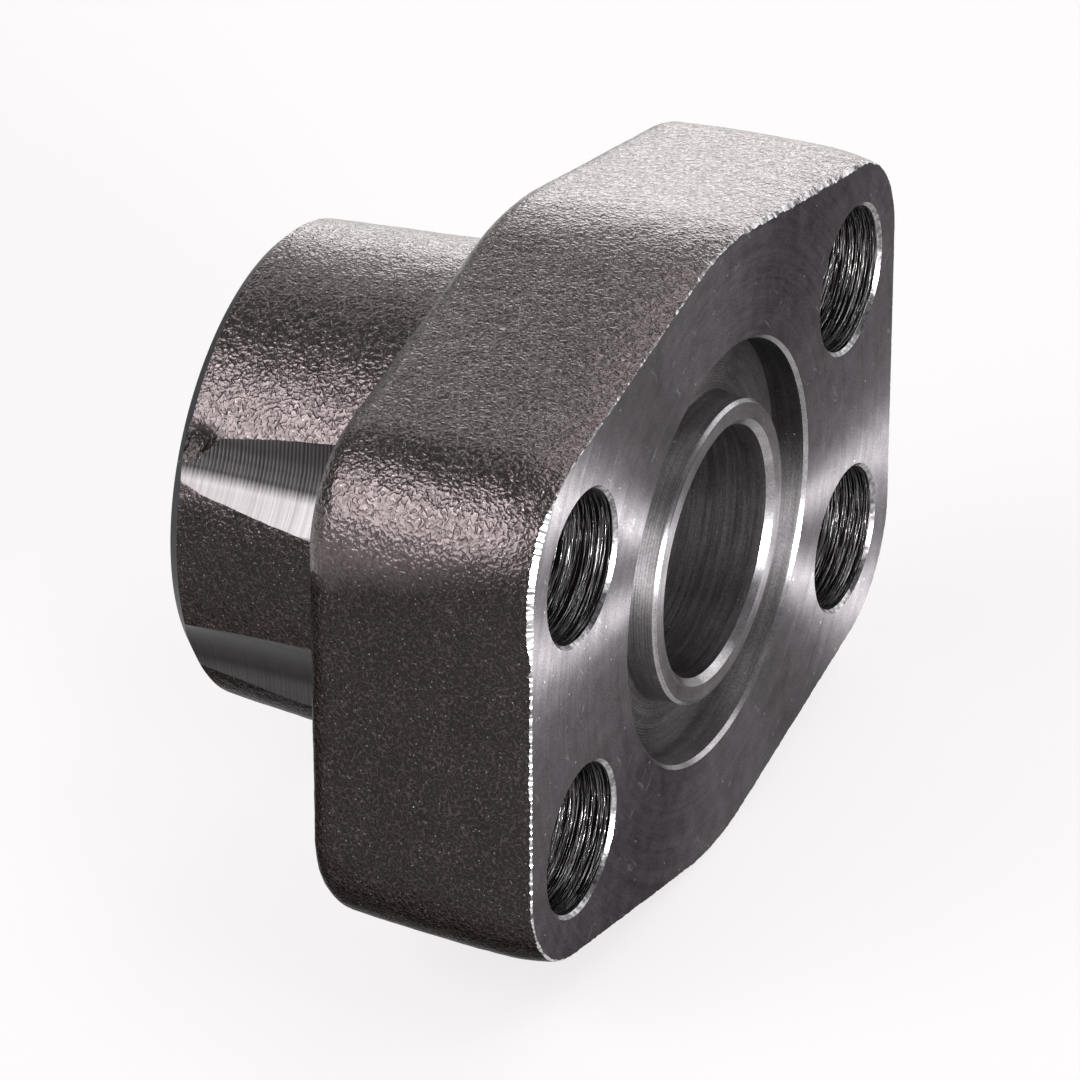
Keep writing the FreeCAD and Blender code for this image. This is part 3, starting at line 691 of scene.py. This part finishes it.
# %% uneven skin tree
def uneven_skin():
    tree, given, result = new_group("uneven_skin", "GeometryNodeTree", [
        ("Geometry", "NodeSocketGeometry", None),
        ("Wave size", "NodeSocketFloat", 6 * MM),
        ("Wave depth", "NodeSocketFloat", 0.12 * MM),
        ("Pit size", "NodeSocketFloat", 0.9 * MM),
        ("Pit depth", "NodeSocketFloat", 0.09 * MM),
        ("Finish", "NodeSocketMaterial", None),
    ], [("Geometry", "NodeSocketGeometry")])
    place = put(tree, "GeometryNodeInputPosition").outputs[0]
    lift = None
    for size, depth in (("Wave size", "Wave depth"), ("Pit size", "Pit depth")):
        scale = calc(tree, "DIVIDE", 1.0, given[size])
        noise = put(tree, "ShaderNodeTexNoise", {"Vector": place, "Scale": scale, "Detail": 2.0})
        part = calc(tree, "MULTIPLY", calc(tree, "SUBTRACT", noise.outputs[0], 0.5), given[depth])
        lift = part if lift is None else calc(tree, "ADD", lift, part)
    normal = put(tree, "GeometryNodeInputNormal").outputs[0]
    offset = put(tree, "ShaderNodeVectorMath", {0: normal, "Scale": lift}, operation="SCALE")
    moved = put(tree, "GeometryNodeSetPosition",
                {"Geometry": given["Geometry"], "Offset": offset.outputs["Vector"]})
    real = put(tree, "GeometryNodeRealizeInstances", {"Geometry": moved.outputs[0]})
    coated = put(tree, "GeometryNodeSetMaterial",
                 {"Geometry": real.outputs[0], "Material": given["Finish"]})
    tree.links.new(coated.outputs[0], result.inputs["Geometry"])
    return tree


def run_tree(piece, tree, **inputs):
    """Run a Geometry Nodes tree on a piece and keep the result as its plain mesh."""
    sockets = {item.name: item.identifier for item in tree.interface.items_tree if item.in_out == "INPUT"}
    modifier = piece.modifiers.new(tree.name, "NODES")
    modifier.node_group = tree
    for title, value in inputs.items():
        modifier[sockets[title.replace("_", " ")]] = value
    keep_result(piece)


def keep_result(piece):
    """Replace a piece's mesh by what its modifiers make of it, and drop them."""
    bpy.context.view_layer.update()
    depsgraph = bpy.context.evaluated_depsgraph_get()
    mesh = bpy.data.meshes.new_from_object(piece.evaluated_get(depsgraph))
    piece.modifiers.clear()
    piece.data = mesh


flange = solid_from_loops("flange", forging_loops(), SKIN)
run_tree(flange, uneven_skin(), Finish=SKIN)
# Faces below the shade line take the painted-shade copy of the skin.
flange.data.materials.append(SHADED_SKIN)
for face in flange.data.polygons:
    if face.center.z + SHADE_LEAN * face.center.y < SHADE_LINE * MM:
        face.material_index = 1
print("forging:", len(flange.data.polygons), "faces")

# %% [markdown]
# ## The tools
# A turned tool is a section that spins about the bore's axis. Its section is a
# list of radius and depth, and it either starts and ends on the axis or closes
# on itself as a ring.

# %% turned tools
def turned(name, section, finish, count=256):
    """Spin a section of (radius, depth) corners about the Y axis."""
    angles = np.arange(count) / count * math.tau
    points, faces, rings = [], [], []
    for radius, depth in section:
        start = len(points)
        if radius == 0:
            points.append((0, depth * MM, 0))
            rings.append([start] * count)
        else:
            points += [(radius * MM * math.cos(a), depth * MM, radius * MM * math.sin(a)) for a in angles]
            rings.append(list(range(start, start + count)))
    pairs = list(zip(rings, rings[1:]))
    if section[0][0] != 0:
        pairs.append((rings[-1], rings[0]))
    for low, high in pairs:
        for at in range(count):
            after = (at + 1) % count
            corners = list(dict.fromkeys([low[at], low[after], high[after], high[at]]))
            if len(corners) > 2:
                faces.append(corners)
    mesh = bpy.data.meshes.new(name)
    mesh.from_pydata(points, [], faces)
    mesh.materials.append(finish)
    tool = bpy.data.objects.new(name, mesh)
    bpy.context.scene.collection.objects.link(tool)
    return tool


def point_outwards(piece):
    import bmesh
    shape = bmesh.new()
    shape.from_mesh(piece.data)
    bmesh.ops.recalc_face_normals(shape, faces=shape.faces)
    if shape.calc_volume(signed=True) < 0:
        bmesh.ops.reverse_faces(shape, faces=shape.faces)
    shape.to_mesh(piece.data)
    shape.free()


# %% [markdown]
# The drill, its countersink and the seat cutter each work at four places. A
# Geometry Nodes tree puts a tool on the four corners of a grid as large as the
# bolt pattern, so the places come from the two pitches and nothing else.

# %% a tool at each bolt
def at_each_bolt():
    tree, given, result = new_group("at_each_bolt", "GeometryNodeTree", [
        ("Geometry", "NodeSocketGeometry", None),
        ("Long pitch", "NodeSocketFloat", LONG_PITCH * MM),
        ("Short pitch", "NodeSocketFloat", SHORT_PITCH * MM),
        ("Finish", "NodeSocketMaterial", None),
    ], [("Geometry", "NodeSocketGeometry")])
    grid = put(tree, "GeometryNodeMeshGrid", {"Size X": given["Long pitch"], "Size Y": given["Short pitch"],
                                              "Vertices X": 2, "Vertices Y": 2})
    upright = put(tree, "GeometryNodeTransform", {"Geometry": grid.outputs["Mesh"]})
    upright.inputs["Rotation"].default_value = (math.pi / 2, 0, 0)
    placed = put(tree, "GeometryNodeInstanceOnPoints", {"Points": upright.outputs[0],
                                                        "Instance": given["Geometry"]})
    real = put(tree, "GeometryNodeRealizeInstances", {"Geometry": placed.outputs[0]})
    coated = put(tree, "GeometryNodeSetMaterial",
                 {"Geometry": real.outputs[0], "Material": given["Finish"]})
    tree.links.new(coated.outputs[0], result.inputs["Geometry"])
    return tree


AT_EACH_BOLT = at_each_bolt()

# %% [markdown]
# The facing cut and the broken edge round it are one tool: a prism that keeps
# what lies inside it. Its front is the mating face, and its first step outwards
# at 45 degrees is the bevel. Where the skin stands proud the bevel comes out
# wide, and where it is low there is none.

# %% facing tool
FACE_STATIONS = 2400


EDGE_STOPS = (0, 30, 38, 45, 60, 80, 90, 100, 146, 150, 164, 166, 207, 225, 240, 300, 360)
EDGE_WIDTHS = (0.05, 0.06, 0.14, 0.24, 0.2, 0.13, 0.08, 0.06, 0.04, 0.27, 0.31, 0.1, 0.1, 0.08, 0.05, 0.05, 0.05)
EDGE_RAGGED = (0.03, 0.04, 0.08, 0.15, 0.15, 0.13, 0.1, 0.09, 0.04, 0.03, 0.03, 0.08, 0.08, 0.06, 0.05, 0.06, 0.03)
CHATTER_PITCH = 0.45


def ragged(count, seed, spacing):
    """Seeded noise between -1 and 1 round a closed loop, with a new value every few points."""
    values = np.random.default_rng(seed).uniform(-1, 1, count // spacing)
    walk = np.arange(count) / spacing
    return np.interp(walk, np.arange(len(values) + 1), np.append(values, values[0]))


def edge_break(points):
    """How far the bevel starts inside the skin's edge, point by point round the face."""
    angle = np.degrees(np.arctan2(points[:, 1], points[:, 0])) % 360
    width = np.interp(angle, EDGE_STOPS, EDGE_WIDTHS)
    rough = np.interp(angle, EDGE_STOPS, EDGE_RAGGED)
    walked = np.cumsum(np.hypot(*np.diff(points, axis=0, append=points[:1]).T))
    chatter = np.where((angle > 147) & (angle < 166), 0.014 * np.sin(walked / CHATTER_PITCH * math.tau), 0)
    width = width + chatter + rough * (0.8 * ragged(len(points), 7, 3) + 0.6 * ragged(len(points), 3, 12))
    return np.maximum(width, 0.005)


def facing_prism():
    points, normals = whole_outline(FACE_STATIONS)
    inner = points - normals * (float(crown(0)) + edge_break(points))[:, None]
    outer = inner + normals * 4
    back = HEIGHT + 5
    front_loop = np.column_stack([inner[:, 0], np.zeros(FACE_STATIONS), inner[:, 1]])
    bevel_loop = np.column_stack([outer[:, 0], np.full(FACE_STATIONS, 4.0), outer[:, 1]])
    back_loop = np.column_stack([outer[:, 0], np.full(FACE_STATIONS, back), outer[:, 1]])
    prism = solid_from_loops("facing_prism", [front_loop, bevel_loop, back_loop], BRIGHT, FACED)
    for face in prism.data.polygons:
        if face.center.y < 1e-9:
            face.material_index = 1
    return prism


# %% machine the forging
def machine(piece, tool, operation="DIFFERENCE"):
    """Cut a piece with a tool. The cut faces take the tool's finish."""
    point_outwards(tool)
    cut = piece.modifiers.new("cut", "BOOLEAN")
    cut.operation = operation
    cut.solver = "MANIFOLD"
    cut.material_mode = "TRANSFER"
    cut.object = tool
    keep_result(piece)
    bpy.data.objects.remove(tool)
    print("after %s: %d faces" % (operation.lower(), len(piece.data.polygons)))


def bolt_tool(name, section, finish):
    tool = turned(name, section, finish, 160)
    run_tree(tool, AT_EACH_BOLT, Finish=finish)
    return tool


PAST = 0.5


def bevel_ring(name, edge_radius, size, side):
    """A ring that cuts a 45 degree bevel on a round edge of the mating face.

    side is +1 where the metal lies outside the edge, and -1 where it lies inside.
    """
    outer = edge_radius + side * (size + PAST)
    inner = edge_radius - side * 0.2
    return turned(name, [(outer, -PAST), (inner, size + 0.2), (inner, -PAST)], BEVELLED)


point_outwards(flange)
machine(flange, facing_prism(), "INTERSECT")
machine(flange, bolt_tool("seat_cutter", [(0, SEAT_DEPTH), (SEAT_RADIUS, SEAT_DEPTH),
                                          (SEAT_RADIUS - SEAT_TAPER, HEIGHT + 2), (0, HEIGHT + 2)], SEATED))
drilled = HOLE_RADIUS + DRILL_WANDER
machine(flange, bolt_tool("drill", [(0, -1), (drilled, -1), (drilled, THICKNESS + 1),
                                    (0, THICKNESS + 1)], DRILLED))
machine(flange, bolt_tool("countersink", [(0, -PAST), (drilled + HOLE_BEVEL + PAST, -PAST),
                                          (drilled - 0.2, HOLE_BEVEL + 0.2), (0, HOLE_BEVEL + 0.2)], SUNK))
foot = [(RING_RADIUS + RING_FOOT * (1 - math.cos(turn)), GROOVE_DEPTH - RING_FOOT * (1 - math.sin(turn)))
        for turn in np.linspace(0, math.pi / 2, 6)]
groove_tool = turned("groove_tool", [(RING_RADIUS, -1)] + foot + [(GROOVE_RADIUS, GROOVE_DEPTH),
                                                                    (GROOVE_RADIUS, -1)], TURNED)
groove_tool.data.materials.append(WALLED)
for face in groove_tool.data.polygons:
    if math.hypot(face.center.x, face.center.z) > (GROOVE_RADIUS - 0.5) * MM and abs(face.normal.y) < 0.5:
        face.material_index = 1
machine(flange, groove_tool)
machine(flange, bevel_ring("groove_bevel", GROOVE_RADIUS, GROOVE_BEVEL, 1))
machine(flange, bevel_ring("ring_bevel", RING_RADIUS, RING_BEVEL, -1))
machine(flange, turned("boring_bar", [(0, -1), (BORE_RADIUS, -1), (BORE_RADIUS, SOCKET_FLOOR),
                                      (SOCKET_RADIUS, SOCKET_FLOOR), (SOCKET_RADIUS, HEIGHT - SOCKET_BEVEL),
                                      (SOCKET_RADIUS + 1, HEIGHT - SOCKET_BEVEL + 1), (SOCKET_RADIUS + 1, HEIGHT + 2),
                                      (0, HEIGHT + 2)], BORED))
machine(flange, bevel_ring("bore_bevel", BORE_RADIUS, BORE_BEVEL, 1))
end_radius = HUB_RADIUS - (HEIGHT - THICKNESS) * math.tan(HUB_DRAFT)
end_tool = turned("end_tool", [(0, HEIGHT), (end_radius - WELD_BEVEL, HEIGHT), (end_radius + 3, HEIGHT - 4),
                               (end_radius + 3, HEIGHT + 3), (0, HEIGHT + 3)], ENDED)
end_tool.data.materials.append(TURNED)
for face in end_tool.data.polygons:
    if face.center.y < (HEIGHT + 0.01) * MM and abs(face.normal.y) > 0.99:
        face.material_index = 1
machine(flange, end_tool)

flange.data.materials.append(LAND)
for face in flange.data.polygons:
    if abs(face.center.y) < 1e-6 and math.hypot(face.center.x, face.center.z) < RING_RADIUS * MM:
        face.material_index = len(flange.data.materials) - 1

flange.data.shade_smooth()
flange.data.set_sharp_from_angle(angle=math.radians(32))
flange.data.calc_loop_triangles()
print("flange:", len(flange.data.loop_triangles), "triangles,", [m.name for m in flange.data.materials])

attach(flange, "root")
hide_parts("flange_body")

# %% [markdown]
# ## Floor, lamps and camera
# The floor is a plain pale sheet under the part's lowest point.

# %% floor
PALE = (0.915, 0.897, 0.897, 1)
EVENNESS = 0.82


def pale_floor():
    low = min(vertex.co.z for vertex in flange.data.vertices)
    bpy.ops.mesh.primitive_plane_add(size=6, location=(0, 0, low))
    floor = bpy.context.object
    floor.name = "floor"
    paint = bpy.data.materials.new("pale_floor")
    paint.use_nodes = True
    tree = paint.node_tree
    shader = tree.nodes["Principled BSDF"]
    shader.inputs["Base Color"].default_value = PALE
    shader.inputs["Roughness"].default_value = 0.9
    shader.inputs["Specular IOR Level"].default_value = 0.0
    rays = put(tree, "ShaderNodeLightPath").outputs
    seen = calc(tree, "ADD", rays["Is Camera Ray"], calc(tree, "ADD", rays["Is Glossy Ray"],
                                                         rays["Is Transmission Ray"]))
    glow = put(tree, "ShaderNodeEmission", {"Color": PALE, "Strength": 1.0}).outputs[0]
    share = calc(tree, "MULTIPLY", calc(tree, "MINIMUM", seen, 1.0), EVENNESS)
    mixed = put(tree, "ShaderNodeMixShader", {0: share, 1: shader.outputs[0], 2: glow})
    tree.links.new(mixed.outputs[0], tree.nodes["Material Output"].inputs["Surface"])
    floor.data.materials.append(paint)
    return floor


pale_floor()


def direction(azimuth, elevation):
    """The unit vector towards a place: azimuth 0 is in front, towards -Y, and 90 is +X."""
    turn, lift = math.radians(azimuth), math.radians(elevation)
    return Vector((math.sin(turn) * math.cos(lift), -math.cos(turn) * math.cos(lift), math.sin(lift)))


LAMP_DISTANCE = 2.3


def softbox(name, azimuth, elevation, width, height, glow):
    """A lamp that faces the part. Its width and height are those that it would have a metre away,
    and its glow is its brightness beside white."""
    lamp = bpy.data.lights.new(name, "AREA")
    lamp.shape = "RECTANGLE"
    lamp.size = width * LAMP_DISTANCE
    lamp.size_y = height * LAMP_DISTANCE
    lamp.energy = glow * math.pi * lamp.size * lamp.size_y
    placed = bpy.data.objects.new(name, lamp)
    way = direction(azimuth, elevation)
    placed.location = way * LAMP_DISTANCE
    placed.rotation_euler = way.to_track_quat("Z", "Y").to_euler()
    bpy.context.scene.collection.objects.link(placed)
    return placed


softbox("left_softbox", -119, 31, 0.8, 0.8, 4.3)
softbox("left_fill", -140, 44, 0.56, 0.46, 2.1)
softbox("back_softbox", 104, 10, 0.68, 0.5, 4.3)
softbox("back_fill", 138, 32, 0.6, 0.6, 1.1)
softbox("over_softbox", 2, 64, 0.5, 0.36, 5.0)
softbox("top_softbox", 85, 65, 0.55, 0.55, 2.2)
softbox("front_strip", -32, 4, 0.3, 0.11, 375.0)
softbox("front_softbox", 58, 18, 0.78, 0.44, 2.2)


world = bpy.data.worlds.new("studio")
bpy.context.scene.world = world
world.use_nodes = True
world.node_tree.nodes["Background"].inputs["Color"].default_value = (0.97, 0.96, 1.0, 1)
world.node_tree.nodes["Background"].inputs["Strength"].default_value = 0.12
bpy.context.scene.view_settings.view_transform = "Standard"

# %% camera
VIEW_AZIMUTH = -64.84
VIEW_ELEVATION = 29.737
VIEW_DISTANCE = 542.28 * MM
VIEW_AIM = Vector((0.10, 14.52, -2.52)) * MM
LENS = 245.17
lens = bpy.data.cameras.new("camera")
lens.lens = LENS
lens.sensor_width = 36
lens.clip_start = 0.01
camera = bpy.data.objects.new("camera", lens)
back = direction(VIEW_AZIMUTH, VIEW_ELEVATION)
camera.location = VIEW_AIM + back * VIEW_DISTANCE
camera.rotation_euler = back.to_track_quat("Z", "Y").to_euler()
bpy.context.scene.collection.objects.link(camera)
bpy.context.scene.camera = camera
